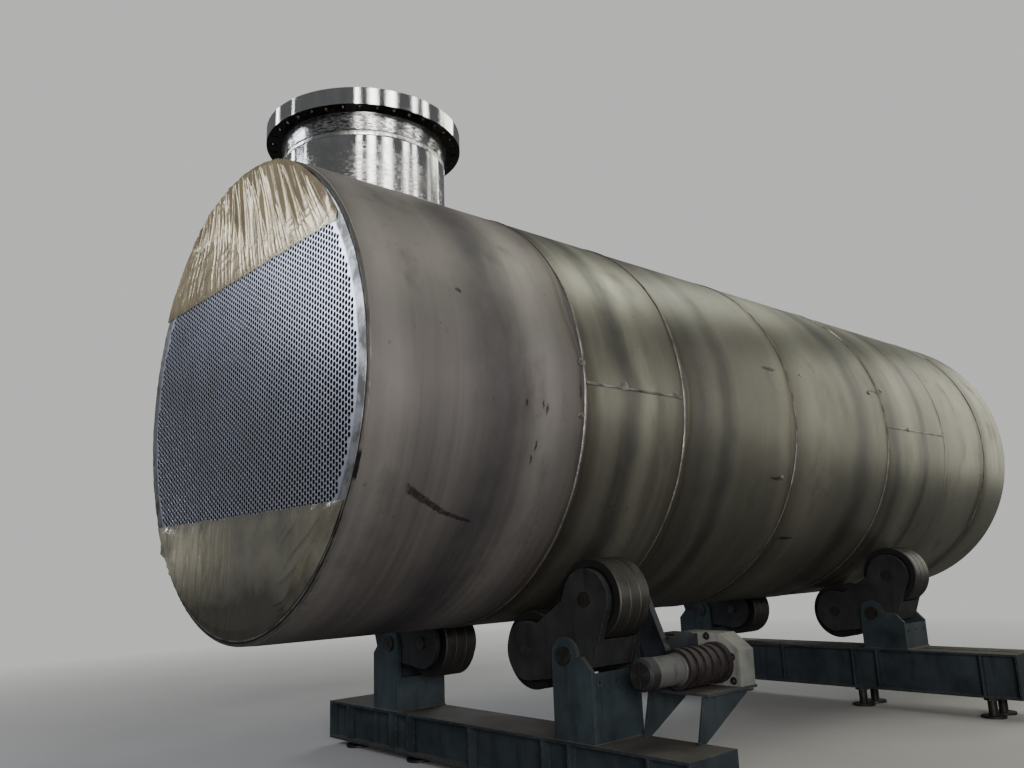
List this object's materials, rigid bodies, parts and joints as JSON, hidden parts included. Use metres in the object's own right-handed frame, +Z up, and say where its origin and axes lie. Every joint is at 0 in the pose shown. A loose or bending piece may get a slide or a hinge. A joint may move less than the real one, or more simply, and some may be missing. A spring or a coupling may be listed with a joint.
{
  "type": "shell and tube heat exchanger on turning rolls",
  "caption": "Horizontal shell and tube heat exchanger with a drilled tube sheet and a flanged top nozzle, lying on rollers of two workshop stands.",
  "frame": {"origin": "on the floor under the middle of the vessel's length, in its vertical middle plane", "axes": "+X along the vessel from the drilled front tube sheet to the rear, +Z up, the drive unit on the -Y side"},
  "size_m": [8.01, 4.12, 4.2905],
  "materials": {
    "shell_plate": "weathered stainless plate, brushed in bands round the shell",
    "weld": "dull weld metal with heat tint",
    "sheet_face": "bright machined face",
    "polished_nozzle": "mirror-polished stainless steel",
    "tube": "drawn stainless tube",
    "baffle": "dull plate",
    "film_upper": "crumpled clear film, slightly yellow",
    "film_lower": "thin clear film",
    "roller": "dark steel with a worn, rolled face",
    "pin_steel": "turned steel",
    "rocker_paint": "dark grey paint, dusty",
    "pedestal_paint": "muted blue paint, dusty",
    "base_paint": "muted blue paint, dusty and worn",
    "jack_steel": "oiled black steel",
    "gear_paint": "pale grey paint",
    "motor_paint": "dark red-brown paint, dusty",
    "guard_paint": "near-black blue paint"
  },
  "bodies": {
    "stand": {"rocker_drive_left": "rocker_paint", "rocker_drive_right": "rocker_paint", "rocker_idler_left": "rocker_paint", "rocker_idler_right": "rocker_paint", "roller_axles": "pin_steel", "rocker_pins": "pin_steel", "pedestal_drive_left": "pedestal_paint", "pedestal_drive_right": "pedestal_paint", "pedestal_idler_left": "pedestal_paint", "pedestal_idler_right": "pedestal_paint", "base_drive": "base_paint", "base_idler": "base_paint", "jacks_drive": "jack_steel", "jacks_idler": "jack_steel", "gear_case": "gear_paint", "drive_motor": "motor_paint", "reducer": "guard_paint", "chain_case": "guard_paint", "drive_shelf": "base_paint"},
    "vessel": {"shell_course_1": "shell_plate", "shell_course_2": "shell_plate", "shell_course_3": "shell_plate", "shell_course_4": "shell_plate", "shell_course_5": "shell_plate", "shell_course_6": "shell_plate", "girth_welds": "weld", "front_tubesheet": "sheet_face", "rear_tubesheet": "sheet_face", "seal_welds": "weld", "nozzle_neck": "polished_nozzle", "nozzle_flange": "polished_nozzle", "nozzle_weld": "weld", "tube_core": "tube", "nozzle_tubes": "tube", "baffles": "baffle", "film_upper": "film_upper", "film_lower": "film_lower"},
    "roller_drive_left_outer": {"roller_drive_left_outer": "roller"},
    "roller_drive_left_inner": {"roller_drive_left_inner": "roller"},
    "roller_drive_right_inner": {"roller_drive_right_inner": "roller"},
    "roller_drive_right_outer": {"roller_drive_right_outer": "roller"},
    "roller_idler_left_outer": {"roller_idler_left_outer": "roller"},
    "roller_idler_left_inner": {"roller_idler_left_inner": "roller"},
    "roller_idler_right_inner": {"roller_idler_right_inner": "roller"},
    "roller_idler_right_outer": {"roller_idler_right_outer": "roller"}
  },
  "joints": [
    {"name": "shell_turn", "type": "hinge", "parent": "stand", "child": "vessel", "pos_m": [0, 0, 2.36349], "axis": [1, 0, 0], "continuous": true},
    {"name": "roller_drive_left_outer_spin", "type": "hinge", "parent": "stand", "child": "roller_drive_left_outer", "pos_m": [-2.133, -1.0869, 1.13497], "axis": [1, 0, 0], "continuous": true},
    {"name": "roller_drive_left_inner_spin", "type": "hinge", "parent": "stand", "child": "roller_drive_left_inner", "pos_m": [-2.133, -0.56102, 0.82211], "axis": [1, 0, 0], "continuous": true},
    {"name": "roller_drive_right_inner_spin", "type": "hinge", "parent": "stand", "child": "roller_drive_right_inner", "pos_m": [-2.133, 0.56102, 0.82211], "axis": [1, 0, 0], "continuous": true},
    {"name": "roller_drive_right_outer_spin", "type": "hinge", "parent": "stand", "child": "roller_drive_right_outer", "pos_m": [-2.133, 1.0869, 1.13497], "axis": [1, 0, 0], "continuous": true},
    {"name": "roller_idler_left_outer_spin", "type": "hinge", "parent": "stand", "child": "roller_idler_left_outer", "pos_m": [1.754, -1.0869, 1.13497], "axis": [1, 0, 0], "continuous": true},
    {"name": "roller_idler_left_inner_spin", "type": "hinge", "parent": "stand", "child": "roller_idler_left_inner", "pos_m": [1.754, -0.56102, 0.82211], "axis": [1, 0, 0], "continuous": true},
    {"name": "roller_idler_right_inner_spin", "type": "hinge", "parent": "stand", "child": "roller_idler_right_inner", "pos_m": [1.754, 0.56102, 0.82211], "axis": [1, 0, 0], "continuous": true},
    {"name": "roller_idler_right_outer_spin", "type": "hinge", "parent": "stand", "child": "roller_idler_right_outer", "pos_m": [1.754, 1.0869, 1.13497], "axis": [1, 0, 0], "continuous": true}
  ],
  "couplings": [
    {"joint": "roller_drive_left_outer_spin", "follows": "shell_turn", "ratio": -5.8333},
    {"joint": "roller_drive_left_inner_spin", "follows": "shell_turn", "ratio": -5.8333},
    {"joint": "roller_drive_right_inner_spin", "follows": "shell_turn", "ratio": -5.8333},
    {"joint": "roller_drive_right_outer_spin", "follows": "shell_turn", "ratio": -5.8333},
    {"joint": "roller_idler_left_outer_spin", "follows": "shell_turn", "ratio": -5.8333},
    {"joint": "roller_idler_left_inner_spin", "follows": "shell_turn", "ratio": -5.8333},
    {"joint": "roller_idler_right_inner_spin", "follows": "shell_turn", "ratio": -5.8333},
    {"joint": "roller_idler_right_outer_spin", "follows": "shell_turn", "ratio": -5.8333}
  ]
}
